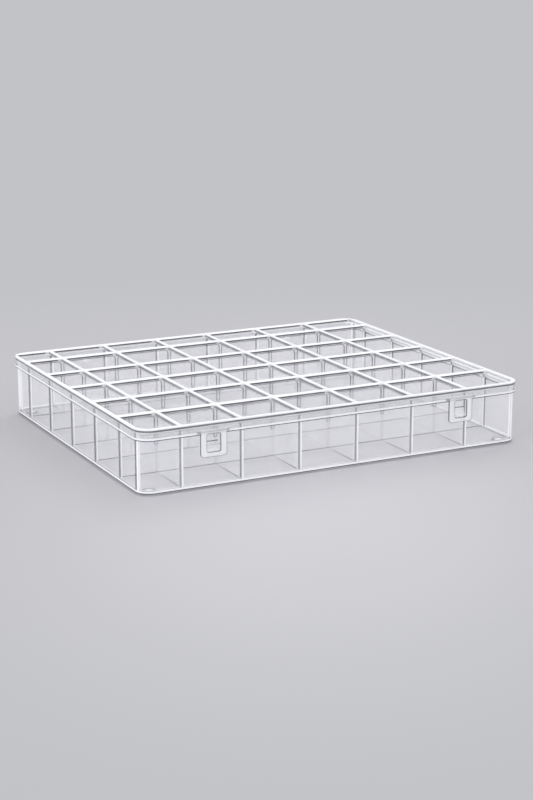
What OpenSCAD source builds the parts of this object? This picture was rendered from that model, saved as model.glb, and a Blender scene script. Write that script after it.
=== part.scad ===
// Clear bead organizer: a divided tray under a hinged lid frame, with one small flap lid over each cell.
// The origin is at the middle of the underside. +X runs to the right, +Y to the hinges and +Z up.

/* [Overall] */
// Width of the lid frame, side to side
lid_w = 340; // [260:1:460]
// Depth of the lid frame, front to back
lid_d = 284; // [220:1:400]
// Height of the closed organizer on its feet
total_h = 52; // [40:1:90]
// Outer corner radius of the lid frame
corner_r = 13; // [8:0.5:20]

/* [Grid] */
// Cells from left to right
columns = 7; // [4:1:8]
// Cells from front to back
rows = 6; // [4:1:8]
// Left edge of the lid to the first bar's middle
left_column = 34.9; // [26:0.1:60]
// Right edge of the lid to the last bar's middle
right_column = 52.6; // [26:0.1:60]
// Front edge of the lid to the first bar's middle
front_row = 49; // [26:0.1:60]
// Back edge of the lid to the last bar's middle
back_row = 33; // [26:0.1:60]

/* [Tray] */
// Thickness of the tray's walls
wall_t = 1.8; // [1.2:0.1:3]
// Thickness of the tray's floor
floor_t = 1.8; // [1.2:0.1:4]
// Gap between the tray's wall and the lid's skirt
skirt_gap = 0.3; // [0.2:0.05:0.5]
// Thickness of the ribs that hold the dividers' ends
rib_t = 1.2; // [0.8:0.1:2]
// How far those ribs stand in from the wall
rib_depth = 2.2; // [1.2:0.1:4]
// How far those ribs stop below the tray's rim
rib_drop = 3; // [1:0.5:10]

/* [Dividers] */
// Thickness of the divider strips
divider_t = 1.6; // [1:0.1:2.4]
// Running gap around a strip in its slot, and at its ends
slot_gap = 0.2; // [0.1:0.05:0.4]
// Gap between the dividers' top and the lid frame
divider_drop = 0.3; // [0.2:0.1:2]
// Radius of the dividers' upper corners and slot mouths
divider_corner_r = 3; // [1:0.5:6]

/* [Lid frame] */
// Height of the bars and the rim
frame_t = 3.2; // [2.6:0.1:5]
// Width of the bars between the flaps
bar_w = 2.6; // [2.6:0.1:5]
// Width of the rim around the flaps
rim_w = 3; // [2.4:0.1:6]
// Thickness of the skirt that hangs from the rim
skirt_t = 1.3; // [0.8:0.1:2]
// How far the skirt reaches down from the top
skirt_h = 9.4; // [7:0.1:14]
// How far the bead at the skirt's lower edge stands out
bead_out = 0.4; // [0.2:0.1:0.6]
// Height of that bead
bead_h = 1.2; // [0.6:0.1:1.4]
// Width of the ledge that a closed flap rests on
ledge_w = 1; // [0.6:0.1:2]
// Radius of the flap openings' front corners
opening_r = 2; // [1.2:0.1:4]

/* [Flaps] */
// Thickness of a flap
flap_t = 1.2; // [0.8:0.1:1.6]
// Gap between a flap and the bars
flap_gap = 0.3; // [0.2:0.05:0.5]
// Gap under a closed flap and under the closed lid frame
seat_gap = 0.1; // [0.05:0.05:0.2]
// How far the flap's top lies below the bars' top
flap_recess = 0.6; // [0.4:0.1:0.8]
// Radius of the round rear edge that the flap turns on
barrel_r = 1; // [0.8:0.05:1.1]
// Radius of the flap's two pivot stubs
stub_r = 0.6; // [0.4:0.05:0.7]
// How far a stub reaches into its bar
stub_reach = 0.7; // [0.5:0.05:0.9]
// Width of the thumb ridge near the flap's front edge
ridge_w = 12; // [6:1:16]
// Thickness of the thumb ridge
ridge_t = 1.4; // [0.8:0.1:2]
// Distance from the flap's front edge to the thumb ridge
ridge_inset = 1.6; // [0.6:0.1:4]

/* [Latches] */
// Side edge of the lid to the middle of each latch
latch_inset = 60; // [30:1:90]
// Width of a latch
latch_w = 22; // [18:0.5:30]
// Height of a latch, from its barrel's top to its lower edge
latch_h = 21.5; // [18:0.5:26]
// Thickness of a latch
latch_t = 1.8; // [1.4:0.1:2.4]
// Width of the window in a latch
window_w = 11.5; // [8:0.5:14]
// Height of the window in a latch
window_h = 14.5; // [10:0.5:17]
// Latch's barrel to the upper edge of its window
window_drop = 0.3; // [0.2:0.1:2]
// Radius of the latch's two lower corners
latch_corner_r = 3; // [1:0.5:6]
// Radius of the window's corners
window_corner_r = 1.5; // [0.5:0.5:4]
// Radius of the latch's pin
latch_pin_r = 0.8; // [0.6:0.05:0.9]
// Wall of the latch's barrel, and of its ears, around the pin
latch_barrel_wall = 0.7; // [0.5:0.05:1]
// Width of each of the two ears that carry the latch's pin
ear_w = 2; // [1.5:0.1:3]
// Height of the wedge that the latch's window drops over
catch_h = 7.6; // [5:0.1:9]
// Gap between the wedge and the latch
catch_gap = 0.4; // [0.3:0.05:0.6]

/* [Hinges] */
// Side edge of the lid to the middle of each hinge
hinge_inset = 60; // [30:1:90]
// Radius of the hinge knuckles
knuckle_r = 2.2; // [1.8:0.1:2.6]
// Length of the lid's knuckle, between the tray's two
knuckle_w = 12; // [8:0.5:20]
// Length of each of the tray's two knuckles
tray_knuckle_w = 6; // [4:0.5:10]
// Gap between neighbouring knuckles, and around them
knuckle_gap = 0.3; // [0.2:0.05:0.5]
// Radius of the hinge pin
hinge_pin_r = 1; // [0.8:0.05:1.2]
// Radial running gap of every pin and stub
pin_gap = 0.05; // [0.02:0.01:0.1]

/* [Feet] */
// Radius of a foot
foot_r = 5.5; // [4:0.5:8]
// How far the feet stand out below the floor
foot_h = 0.8; // [0.5:0.1:3]
// Depth of the recess that holds a foot
foot_recess = 0.6; // [0.4:0.1:0.8]
// Tray's outer wall to the middle of a foot
foot_inset = 11; // [9:0.5:20]

/* [Hidden] */
clear = [0.93, 0.94, 0.95, 0.35];
pin_metal = [0.75, 0.76, 0.78];
foot_clear = [0.88, 0.89, 0.9, 0.6];
bite = 0.4;                     // how far a boss or a rib sinks into the wall that carries it
cut = 1;                        // how far a cutting solid runs past what it cuts
$fn = 48;

// Heights
tray_z = foot_h;
floor_z = tray_z + floor_t;
frame_z = total_h - frame_t;
skirt_z = total_h - skirt_h;
flap_axis_z = total_h - flap_recess - flap_t / 2;
seat_z = flap_axis_z - flap_t / 2 - seat_gap;
tray_rim_z = frame_z - seat_gap;
divider_top_z = frame_z - divider_drop;
divider_h = divider_top_z - floor_z;

// Plan sizes
tray_w = lid_w - 2 * (skirt_t + skirt_gap);
tray_d = lid_d - 2 * (skirt_t + skirt_gap);
tray_r = corner_r - skirt_t - skirt_gap;
inner_w = tray_w - 2 * wall_t;
inner_d = tray_d - 2 * wall_t;
pitch_x = (lid_w - left_column - right_column) / (columns - 2);
pitch_y = (lid_d - front_row - back_row) / (rows - 2);
bars_x = [for (i = [0:columns - 2]) -lid_w / 2 + left_column + i * pitch_x];
bars_y = [for (j = [0:rows - 2]) -lid_d / 2 + front_row + j * pitch_y];

// Edges of the flap openings: the rim outside, half a bar inside
opening_left = [-lid_w / 2 + rim_w, each [for (x = bars_x) x + bar_w / 2]];
opening_right = [each [for (x = bars_x) x - bar_w / 2], lid_w / 2 - rim_w];
opening_front = [-lid_d / 2 + rim_w, each [for (y = bars_y) y + bar_w / 2]];
opening_back = [each [for (y = bars_y) y - bar_w / 2], lid_d / 2 - rim_w];

// Pivots
latch_offset = lid_w / 2 - latch_inset;
hinge_offset = lid_w / 2 - hinge_inset;
flap_axis_inset = barrel_r + flap_gap;
latch_barrel_r = latch_pin_r + latch_barrel_wall;
latch_axis_y = -lid_d / 2 - skirt_gap - latch_barrel_r;
latch_axis_z = skirt_z + bead_h + latch_barrel_r;
latch_back_y = latch_axis_y + latch_t / 2;
window_top_z = latch_axis_z - latch_barrel_r - window_drop;
window_bottom_z = window_top_z - window_h;
trim_out = -lid_d / 2 - (latch_axis_y - latch_barrel_r);
hinge_axis_y = lid_d / 2 + trim_out - knuckle_r;
hinge_axis_z = skirt_z - knuckle_r - knuckle_gap;
hinge_pin_l = knuckle_w + 2 * (knuckle_gap + tray_knuckle_w);

function flap_name(row, column) = str("flap_r", row + 1, "_c", column + 1);
function deep_name(i) = str("divider_deep_", i + 1);
function wide_name(j) = str("divider_wide_", j + 1);

// A rectangle centred on the origin, with round corners.
module round_rect(w, d, r) {
    square([w - 2 * r, d], center = true);
    square([w, d - 2 * r], center = true);
    for (sx = [-1, 1], sy = [-1, 1])
        translate([sx * (w / 2 - r), sy * (d / 2 - r)])
            circle(r);
}

// A rectangle from the origin, with its two front corners round and its two back corners square.
module front_round_rect(w, d, r) {
    translate([0, r])
        square([w, d - r]);
    translate([r, 0])
        square([w - 2 * r, d]);
    for (x = [r, w - r])
        translate([x, r])
            circle(r);
}

// A straight cylinder along X, centred on the origin.
module rod_x(r, l) {
    rotate([0, 90, 0])
        cylinder(r = r, h = l, center = true);
}

// A flat outline drawn in X and Z, made into a plate that runs back from y = 0.
module standing_plate(t) {
    translate([0, t, 0])
        rotate([90, 0, 0])
            linear_extrude(t)
                children();
}

// The four places of the feet, inside the tray's corners.
module at_feet() {
    for (sx = [-1, 1], sy = [-1, 1])
        translate([sx * (tray_w / 2 - foot_inset), sy * (tray_d / 2 - foot_inset), 0])
            children();
}

// Two upright ribs, a divider's thickness apart, running in +Y from the wall's inner face.
module rib_pair() {
    for (side = [-1, 1])
        translate([side * (divider_t / 2 + slot_gap + rib_t / 2) - rib_t / 2, -bite, floor_z - bite])
            cube([rib_t, rib_depth + bite, tray_rim_z - rib_drop - floor_z + bite]);
}

// The ribs at both ends of every divider.
module ribs() {
    for (x = bars_x, side = [0, 1])
        translate([x, 0, 0])
            mirror([0, side, 0])
                translate([0, -inner_d / 2, 0])
                    rib_pair();
    for (y = bars_y, side = [0, 1])
        translate([0, y, 0])
            mirror([side, 0, 0])
                translate([-inner_w / 2, 0, 0])
                    rotate([0, 0, -90])
                        rib_pair();
}

// The wedge on the front wall that shows in a latch's window: it slopes out to a flat lower ledge.
module catch() {
    depth = -tray_d / 2 - latch_back_y - catch_gap;
    ledge_z = window_bottom_z + catch_gap;
    translate([-window_w / 2 + catch_gap, -tray_d / 2, 0])
        rotate([90, 0, 90])
            linear_extrude(window_w - 2 * catch_gap)
                polygon([
                    [bite, ledge_z],
                    [-depth, ledge_z],
                    [0, ledge_z + catch_h],
                    [bite, ledge_z + catch_h]
                ]);
}

// One of the tray's two knuckles of a hinge, with the web that joins it to the wall.
module tray_knuckle() {
    translate([0, hinge_axis_y, hinge_axis_z])
        rod_x(knuckle_r, tray_knuckle_w);
    translate([-tray_knuckle_w / 2, tray_d / 2 - bite, hinge_axis_z - knuckle_r])
        cube([tray_knuckle_w, hinge_axis_y - tray_d / 2 + bite, knuckle_r]);
}

// Tray: floor, four round-cornered walls, divider ribs, latch wedges and hinge knuckles, in one moulding.
module tray() {
    knuckle_x = (knuckle_w + tray_knuckle_w) / 2 + knuckle_gap;
    color(clear)
        difference() {
            union() {
                difference() {
                    translate([0, 0, tray_z])
                        linear_extrude(tray_rim_z - tray_z)
                            round_rect(tray_w, tray_d, tray_r);
                    translate([0, 0, floor_z])
                        linear_extrude(total_h)
                            round_rect(inner_w, inner_d, tray_r - wall_t);
                }
                ribs();
                for (side = [-1, 1])
                    translate([side * latch_offset, 0, 0])
                        catch();
                for (side = [-1, 1], end = [-1, 1])
                    translate([side * hinge_offset + end * knuckle_x, 0, 0])
                        tray_knuckle();
            }
            at_feet()
                translate([0, 0, tray_z - cut])
                    cylinder(r = foot_r + slot_gap, h = foot_recess + cut);
            for (side = [-1, 1])
                translate([side * hinge_offset, hinge_axis_y, hinge_axis_z])
                    rod_x(hinge_pin_r + pin_gap, hinge_pin_l + cut);
        }
}

// Feet: four soft discs, each seated in its recess under the floor.
module feet() {
    color(foot_clear)
        at_feet()
            cylinder(r = foot_r, h = foot_h + foot_recess);
}

// Divider that runs from front to back, with a slot from below at each divider that it crosses.
module divider_deep(x) {
    length = inner_d - 2 * slot_gap;
    color(clear)
        translate([x - divider_t / 2, 0, floor_z])
            rotate([90, 0, 90])
                linear_extrude(divider_t)
                    difference() {
                        translate([-length / 2, 0])
                            strip_outline(length);
                        for (y = bars_y)
                            translate([y - divider_t / 2 - slot_gap, -cut])
                                square([divider_t + 2 * slot_gap, divider_h / 2 + cut]);
                    }
}

// Divider that runs from left to right, with a round-mouthed slot from above at each one that it crosses.
module divider_wide(y) {
    length = inner_w - 2 * slot_gap;
    color(clear)
        translate([0, y - divider_t / 2, floor_z])
            standing_plate(divider_t)
                difference() {
                    translate([-length / 2, 0])
                        strip_outline(length);
                    for (x = bars_x)
                        translate([x, 0])
                            slot_from_above();
                }
}

// A strip's outline from the origin, with its two upper corners round.
module strip_outline(length) {
    square([length, divider_h - divider_corner_r]);
    translate([divider_corner_r, 0])
        square([length - 2 * divider_corner_r, divider_h]);
    for (x = [divider_corner_r, length - divider_corner_r])
        translate([x, divider_h - divider_corner_r])
            circle(divider_corner_r);
}

// A slot down from a strip's top edge, whose mouth widens in two quarter rounds.
module slot_from_above() {
    half = divider_t / 2 + slot_gap;
    depth = divider_h / 2 + slot_gap;
    translate([-half, divider_h - depth])
        square([2 * half, depth + cut]);
    difference() {
        translate([-half - divider_corner_r, divider_h - divider_corner_r])
            square([2 * (half + divider_corner_r), divider_corner_r + cut]);
        for (side = [-1, 1])
            translate([side * (half + divider_corner_r), divider_h - divider_corner_r])
                circle(divider_corner_r);
    }
}

// The outline of every flap opening, narrowed at the front and the sides by inset.
module openings(inset) {
    for (column = [0:columns - 1], row = [0:rows - 1])
        translate([opening_left[column] + inset, opening_front[row] + inset])
            front_round_rect(
                opening_right[column] - opening_left[column] - 2 * inset,
                opening_back[row] - opening_front[row] - inset,
                opening_r
            );
}

// The room that each flap's barrel turns in: full width, cut through the ledges behind the flap.
module barrel_room() {
    room = flap_axis_inset + barrel_r + flap_gap;
    for (column = [0:columns - 1], row = [0:rows - 1])
        translate([opening_left[column], opening_back[row] - room])
            square([opening_right[column] - opening_left[column], room]);
}

// Bores for the pivot stubs of every flap, each open towards its flap only.
module stub_bores() {
    for (column = [0:columns - 1], row = [0:rows - 1])
        translate([
            (opening_left[column] + opening_right[column]) / 2,
            opening_back[row] - flap_axis_inset,
            flap_axis_z
        ])
            rod_x(
                stub_r + pin_gap,
                opening_right[column] - opening_left[column] + 2 * (stub_reach + pin_gap)
            );
}

// Ear on the skirt that carries one end of a latch's pin.
module ear() {
    translate([0, latch_axis_y, latch_axis_z])
        rod_x(latch_barrel_r, ear_w);
    translate([-ear_w / 2, latch_axis_y, latch_axis_z - latch_barrel_r])
        cube([ear_w, -lid_d / 2 - latch_axis_y + bite, 2 * latch_barrel_r]);
}

// The lid's knuckle of a hinge, with the web up to the skirt's lower edge.
module lid_knuckle() {
    translate([0, hinge_axis_y, hinge_axis_z])
        rod_x(knuckle_r, knuckle_w);
    translate([-knuckle_w / 2, lid_d / 2 - skirt_t, hinge_axis_z])
        cube([knuckle_w, hinge_axis_y - lid_d / 2 + skirt_t, skirt_z - hinge_axis_z + bead_h]);
}

// Lid frame: rim, bars, skirt with its bead, latch ears and hinge knuckles, in one moulding.
module lid_frame() {
    ear_x = (latch_w + ear_w) / 2 + knuckle_gap;
    color(clear)
        difference() {
            union() {
                difference() {
                    union() {
                        translate([0, 0, skirt_z])
                            linear_extrude(total_h - skirt_z)
                                round_rect(lid_w, lid_d, corner_r);
                        translate([0, 0, skirt_z])
                            linear_extrude(bead_h)
                                round_rect(lid_w + 2 * bead_out, lid_d + 2 * bead_out, corner_r + bead_out);
                    }
                    translate([0, 0, skirt_z - cut])
                        linear_extrude(frame_z - skirt_z + cut)
                            round_rect(lid_w - 2 * skirt_t, lid_d - 2 * skirt_t, corner_r - skirt_t);
                    translate([0, 0, seat_z])
                        linear_extrude(total_h)
                            openings(0);
                    translate([0, 0, frame_z - cut])
                        linear_extrude(total_h)
                            union() {
                                openings(ledge_w);
                                barrel_room();
                            }
                }
                for (side = [-1, 1], end = [-1, 1])
                    translate([side * latch_offset + end * ear_x, 0, 0])
                        ear();
                for (side = [-1, 1])
                    translate([side * hinge_offset, 0, 0])
                        lid_knuckle();
            }
            stub_bores();
            for (side = [-1, 1])
                translate([side * latch_offset, latch_axis_y, latch_axis_z])
                    rod_x(latch_pin_r + pin_gap, latch_w + 2 * (knuckle_gap + ear_w) + cut);
            for (side = [-1, 1])
                translate([side * hinge_offset, hinge_axis_y, hinge_axis_z])
                    rod_x(hinge_pin_r + pin_gap, knuckle_w + cut);
        }
}

// Hinge pins: one through the three knuckles of each hinge.
module hinge_pins() {
    color(pin_metal)
        for (side = [-1, 1])
            translate([side * hinge_offset, hinge_axis_y, hinge_axis_z])
                rod_x(hinge_pin_r, hinge_pin_l);
}

// Latch pins: one through both ears and the barrel of each latch.
module latch_pins() {
    color(pin_metal)
        for (side = [-1, 1])
            translate([side * latch_offset, latch_axis_y, latch_axis_z])
                rod_x(latch_pin_r, latch_w + 2 * (knuckle_gap + ear_w));
}

// Latch: a plate with a window, hanging from a barrel on its pin.
module latch(x) {
    plate_bottom_z = latch_axis_z + latch_barrel_r - latch_h;
    color(clear)
        translate([x, 0, 0])
            difference() {
                union() {
                    translate([0, latch_axis_y, latch_axis_z])
                        rod_x(latch_barrel_r, latch_w);
                    translate([0, latch_back_y - latch_t, 0])
                        standing_plate(latch_t)
                            difference() {
                                latch_outline(plate_bottom_z);
                                translate([0, (window_top_z + window_bottom_z) / 2])
                                    round_rect(window_w, window_h, window_corner_r);
                            }
                }
                translate([0, latch_axis_y, latch_axis_z])
                    rod_x(latch_pin_r + pin_gap, latch_w + cut);
            }
}

// The latch plate's outline in X and Z: square where it meets the barrel, round at its lower corners.
module latch_outline(bottom_z) {
    h = latch_axis_z - bottom_z;
    translate([-latch_w / 2, bottom_z])
        front_round_rect(latch_w, h, latch_corner_r);
}

// Flap over one cell: a thin plate on a round rear edge, with two pivot stubs and a low thumb ridge.
module flap(row, column) {
    left = opening_left[column] + flap_gap;
    w = opening_right[column] - opening_left[column] - 2 * flap_gap;
    front = opening_front[row] + flap_gap;
    axis_y = opening_back[row] - flap_axis_inset;
    color(clear)
        union() {
            translate([left, front, flap_axis_z - flap_t / 2])
                linear_extrude(flap_t)
                    front_round_rect(w, axis_y - front, opening_r - flap_gap);
            translate([left + w / 2, axis_y, flap_axis_z])
                rod_x(barrel_r, w);
            translate([left + w / 2, axis_y, flap_axis_z])
                rod_x(stub_r, w + 2 * (flap_gap + stub_reach));
            translate([left + w / 2 - ridge_w / 2, front + ridge_inset, flap_axis_z])
                cube([ridge_w, ridge_t, total_h - flap_axis_z]);
        }
}

tray();
lid_frame();
latch(-latch_offset);  // latch_left
latch(latch_offset);  // latch_right
hinge_pins();
latch_pins();
feet();
for (i = [0:columns - 2])
    divider_deep(bars_x[i]);
for (j = [0:rows - 2])
    divider_wide(bars_y[j]);
for (row = [0:rows - 1], column = [0:columns - 1])
    flap(row, column);
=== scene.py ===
"""Clear moulded bead organizer: its dressed pieces, finishes, light and camera around the fixed frame.

Every piece is a surface worked out with numpy in the frame's own metres. Each point of a piece carries a
tone that paints light and shade into its colour: 0 is a painted dark line, the shade that clear plastic
shows at a turned edge, 0.5 is a clear face, 1 is a painted highlight on an edge.
"""

import logging
import math
from dataclasses import dataclass, field
from enum import Enum

import bpy
import numpy as np
from bpy.types import Material, Node, NodeSocket, NodeTree
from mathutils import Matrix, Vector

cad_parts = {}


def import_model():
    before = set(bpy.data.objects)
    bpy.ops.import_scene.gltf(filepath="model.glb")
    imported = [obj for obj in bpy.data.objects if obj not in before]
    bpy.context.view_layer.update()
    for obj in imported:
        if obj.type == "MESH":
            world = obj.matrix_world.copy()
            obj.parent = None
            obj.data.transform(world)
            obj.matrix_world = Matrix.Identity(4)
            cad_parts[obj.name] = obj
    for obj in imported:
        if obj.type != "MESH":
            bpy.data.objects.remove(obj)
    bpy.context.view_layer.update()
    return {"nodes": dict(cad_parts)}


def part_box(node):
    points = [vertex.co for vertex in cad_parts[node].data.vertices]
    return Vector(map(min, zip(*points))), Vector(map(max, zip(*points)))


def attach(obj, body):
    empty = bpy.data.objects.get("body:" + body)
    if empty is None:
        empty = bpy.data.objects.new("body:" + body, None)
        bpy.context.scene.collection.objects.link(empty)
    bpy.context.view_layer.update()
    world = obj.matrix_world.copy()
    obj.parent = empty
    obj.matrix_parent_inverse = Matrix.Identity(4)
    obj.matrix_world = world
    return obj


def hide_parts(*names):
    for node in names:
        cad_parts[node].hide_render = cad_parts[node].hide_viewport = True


LOG = logging.getLogger("bead_organizer")
MM = 0.001
PHOTO_HEIGHT = 800
TONE = "tone"
# Tones: LINE, FAINT_LINE painted dark lines; VEIL painted grey; GLINT painted glint; BRIGHT painted
# highlight.
LINE, FAINT_LINE, VEIL, CLEAR, GLINT, BRIGHT = 0.0, 0.15, 0.4, 0.5, 0.75, 1.0
SMOOTH_ANGLE = math.radians(35)
LATCHES = ("latch_left", "latch_right")
ROD_SIDES = 24
FACE_INSET = 0.6
BLOCK_CORNER = 1.7


class Along(Enum):
    """The direction that a flat outline is carried in, as the place of its own x, y and height in a point."""

    X = (1, 2, 0)
    Y = (0, 2, 1)
    Z = (0, 1, 2)


@dataclass
class Patch:
    """A closed surface: its points, its faces as index arrays, and a tone for each point."""

    points: np.ndarray
    faces: list
    tones: np.ndarray

    def volume(self) -> float:
        """Return the signed volume, summed over a fan of triangles on every face."""
        total = 0.0
        for face in self.faces:
            corners = self.points[face]
            first = np.repeat(corners[:1], len(face) - 2, axis=0)
            total += float((np.cross(corners[1:-1], corners[2:]) * first).sum())
        return total / 6.0

    def outward(self) -> "Patch":
        """Return the patch with its faces turned outwards, by the sign of its volume."""
        if self.volume() >= 0.0:
            return self
        return Patch(self.points, [face[::-1] for face in self.faces], self.tones)


def ring_quads(rings: int, around: int, closed: bool) -> list:
    """Join each ring of points to the next one with quads.

    Quad (i, j) joins points j and j + 1 of ring i to the same points of ring i + 1; a closed tube also joins
    the last ring to the first.

    Args:
        rings: number of rings.
        around: points in each ring.
        closed: whether the last ring meets the first.

    Returns:
        The quads, each an array of four point indices.
    """
    last = rings if closed else rings - 1
    i, j = np.meshgrid(np.arange(last), np.arange(around), indexing="ij")
    k, n = (j + 1) % around, (i + 1) % rings
    quads = np.stack([i * around + j, i * around + k, n * around + k, n * around + j], axis=-1)
    return list(quads.reshape(-1, 4))


def tube(rings: np.ndarray, tones: np.ndarray, closed: bool = False) -> Patch:
    """Make a surface from rings of points, capped by one flat face at each end unless it is closed.

    Args:
        rings: points as (ring, around, 3).
        tones: tones as (ring, around), or anything that spreads to it.
        closed: whether the last ring meets the first, as in a frame.

    Returns:
        The surface, turned outwards.
    """
    count, around = rings.shape[:2]
    faces = ring_quads(count, around, closed)
    if not closed:
        faces.append(np.arange(around)[::-1])
        faces.append(np.arange(around) + (count - 1) * around)
    return Patch(rings.reshape(-1, 3), faces, np.broadcast_to(tones, (count, around)).reshape(-1)).outward()


def mitres(outline: np.ndarray) -> np.ndarray:
    """Return for each corner of a closed outline the step that moves both its sides out by one unit.

    The step is (a + b) / (1 + a . b), where a and b are the unit normals of the two sides that meet there.
    """
    side = np.roll(outline, -1, axis=0) - outline
    normal = np.stack([side[:, 1], -side[:, 0]], axis=1) / np.linalg.norm(side, axis=1, keepdims=True)
    before = np.roll(normal, 1, axis=0)
    step = (before + normal) / (1.0 + (before * normal).sum(axis=1, keepdims=True))
    turn = outline[:, 0] * np.roll(outline[:, 1], -1) - np.roll(outline[:, 0], -1) * outline[:, 1]
    return step if turn.sum() > 0 else -step


def place(flat: np.ndarray, height: np.ndarray, along: Along) -> np.ndarray:
    """Stand flat points up: their x, y and height go to the columns that the direction names."""
    stacked = np.concatenate([flat, np.broadcast_to(height, flat.shape[:-1])[..., None]], axis=-1)
    points = np.empty_like(stacked)
    points[..., list(along.value)] = stacked
    return points


def slab(outline: np.ndarray, low: float, high: float, round_r: float, along: Along,
         rim_tone: float | np.ndarray = BRIGHT, face_tone: float = CLEAR, steps: int = 3) -> Patch:
    """Carry a closed outline from low to high, with quarter-round edges at both ends.

    At angle a of the quarter round the outline is drawn in by r (1 - sin a) and lies r (1 - cos a) from the
    end. One more ring inside each end, FACE_INSET r further in, keeps the tone of the edge off the face.

    Args:
        outline: closed outline as (n, 2).
        low: where the slab starts.
        high: where the slab ends.
        round_r: radius of its edges.
        along: direction of the thickness.
        rim_tone: tone of the sides, one value or one for each point of the outline.
        face_tone: tone of the two end faces.
        steps: segments in each quarter round.

    Returns:
        The slab.
    """
    angle = np.linspace(0.0, math.pi / 2, steps + 1)
    inset = round_r * (1.0 - np.sin(angle))
    rise = round_r * (1.0 - np.cos(angle))
    inset = np.concatenate([[inset[0] + round_r * FACE_INSET], inset])
    rise = np.concatenate([[0.0], rise])
    insets = np.concatenate([inset, inset[::-1]])
    heights = np.concatenate([low + rise, high - rise[::-1]])
    step = mitres(outline)
    rings = outline[None] - insets[:, None, None] * step[None]
    tones = np.broadcast_to(rim_tone, (len(insets), len(outline))).copy()
    tones[[0, -1]] = face_tone
    return tube(place(rings, heights[:, None], along), tones)


def swept(section: list, along: Along, closed: bool = True) -> Patch:
    """Carry a section around: each of its rings is an outline moved out by a step.

    Args:
        section: outline, step, height and tone of each ring; the tone is one value or one for each point.
        along: direction of the height.
        closed: whether the last ring meets the first.

    Returns:
        The surface.
    """
    rings = [place(base + step * mitres(base), height, along) for base, step, height, _ in section]
    tones = [np.broadcast_to(tone, len(base)) for base, _, _, tone in section]
    return tube(np.stack(rings), np.stack(tones), closed)


def arc(centre: tuple, radius: float, start: float, end: float, count: int = 6) -> np.ndarray:
    """Return points on a circle from one angle to another, in degrees: centre + r (cos a, sin a)."""
    angle = np.radians(np.linspace(start, end, count + 1))
    return np.stack([centre[0] + radius * np.cos(angle), centre[1] + radius * np.sin(angle)], axis=1)


def round_rectangle(x0: float, y0: float, x1: float, y1: float, radii: tuple, count: int = 6) -> np.ndarray:
    """Return a rectangle as a closed outline, counter-clockwise, each corner a quarter circle.

    Args:
        x0: low edge in x.
        y0: low edge in y.
        x1: high edge in x.
        y1: high edge in y.
        radii: corner radii at (x0, y0), (x1, y0), (x1, y1) and (x0, y1).
        count: segments in each corner.

    Returns:
        The outline as (n, 2).
    """
    corners = ((x0, y0, 1, 1, 180), (x1, y0, -1, 1, 270), (x1, y1, -1, -1, 0), (x0, y1, 1, -1, 90))
    return np.concatenate([
        arc((x + sx * r, y + sy * r), r, start, start + 90, count)
        for (x, y, sx, sy, start), r in zip(corners, radii)
    ])


def rod(centre: tuple, radius: float, length: float, edge: float, tone: float) -> Patch:
    """Make a round bar along X about its centre, with rounded ends."""
    circle = arc((centre[1], centre[2]), radius, 0.0, 360.0, ROD_SIDES)[:-1]
    return slab(circle, centre[0] - length / 2, centre[0] + length / 2, edge, Along.X, tone, tone)


def block(low: tuple, high: tuple, edge: float, along: Along = Along.Z, rim_tone: float = BRIGHT,
          face_tone: float = CLEAR) -> Patch:
    """Make a box from its low to its high corner, with all its edges rounded.

    The four edges along its thickness are BLOCK_CORNER times as round as the others.

    Args:
        low: lowest corner.
        high: highest corner.
        edge: radius of its edges.
        along: direction between the two broad faces.
        rim_tone: tone of the four sides.
        face_tone: tone of the two broad faces.

    Returns:
        The box.
    """
    a, b, c = along.value
    outline = round_rectangle(low[a], low[b], high[a], high[b], (edge * BLOCK_CORNER,) * 4, 2)
    return slab(outline, low[c], high[c], edge, along, rim_tone, face_tone, 2)


def link(name: str, patches: list, material: Material, node: str, body: str) -> None:
    """Join surfaces into one object that stands for a CAD node and rides on its body.

    Args:
        name: name of the piece.
        patches: its closed surfaces.
        material: its finish.
        node: the CAD node it replaces.
        body: the body it rides on.
    """
    starts = np.cumsum([0] + [len(patch.points) for patch in patches[:-1]])
    points = np.concatenate([patch.points for patch in patches])
    faces = [(face + start).tolist() for patch, start in zip(patches, starts) for face in patch.faces]
    mesh = bpy.data.meshes.new(name)
    mesh.from_pydata(points.tolist(), [], faces)
    tones = np.concatenate([patch.tones for patch in patches]).astype(np.float32)
    mesh.attributes.new(TONE, "FLOAT", "POINT").data.foreach_set("value", tones)
    mesh.polygons.foreach_set("use_smooth", np.ones(len(mesh.polygons), bool))
    mesh.set_sharp_from_angle(angle=SMOOTH_ANGLE)
    mesh.materials.append(material)
    piece = bpy.data.objects.new(name, mesh)
    bpy.context.scene.collection.objects.link(piece)
    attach(piece, body)
    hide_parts(node)
    LOG.info("%s: %d points, %d faces", name, len(points), len(faces))


def rgba(code: str, alpha: float = 1.0) -> tuple:
    """Turn an sRGB hex colour into linear red, green, blue and alpha.

    Above 0.04045 a channel c becomes ((c + 0.055) / 1.055) to the power 2.4, and below it c / 12.92.
    """
    channels = [int(code[i:i + 2], 16) / 255 for i in (1, 3, 5)]
    linear = [((c + 0.055) / 1.055) ** 2.4 if c > 0.04045 else c / 12.92 for c in channels]
    return (*linear, alpha)


def add(tree: NodeTree, kind: str, settings: dict | None = None, links: dict | None = None) -> Node:
    """Add a shader node with its settings and links.

    Args:
        tree: the material's nodes.
        kind: the node's type name.
        settings: a value for each input, by its name or number, or else for a property of the node.
        links: the output socket that feeds each input, by the input's name or number.

    Returns:
        The node.
    """
    node = tree.nodes.new(kind)
    for name, value in (settings or {}).items():
        if isinstance(name, int) or name in node.inputs:
            node.inputs[name].default_value = value
        else:
            setattr(node, name, value)
    for name, socket in (links or {}).items():
        tree.links.new(socket, node.inputs[name])
    return node


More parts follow.
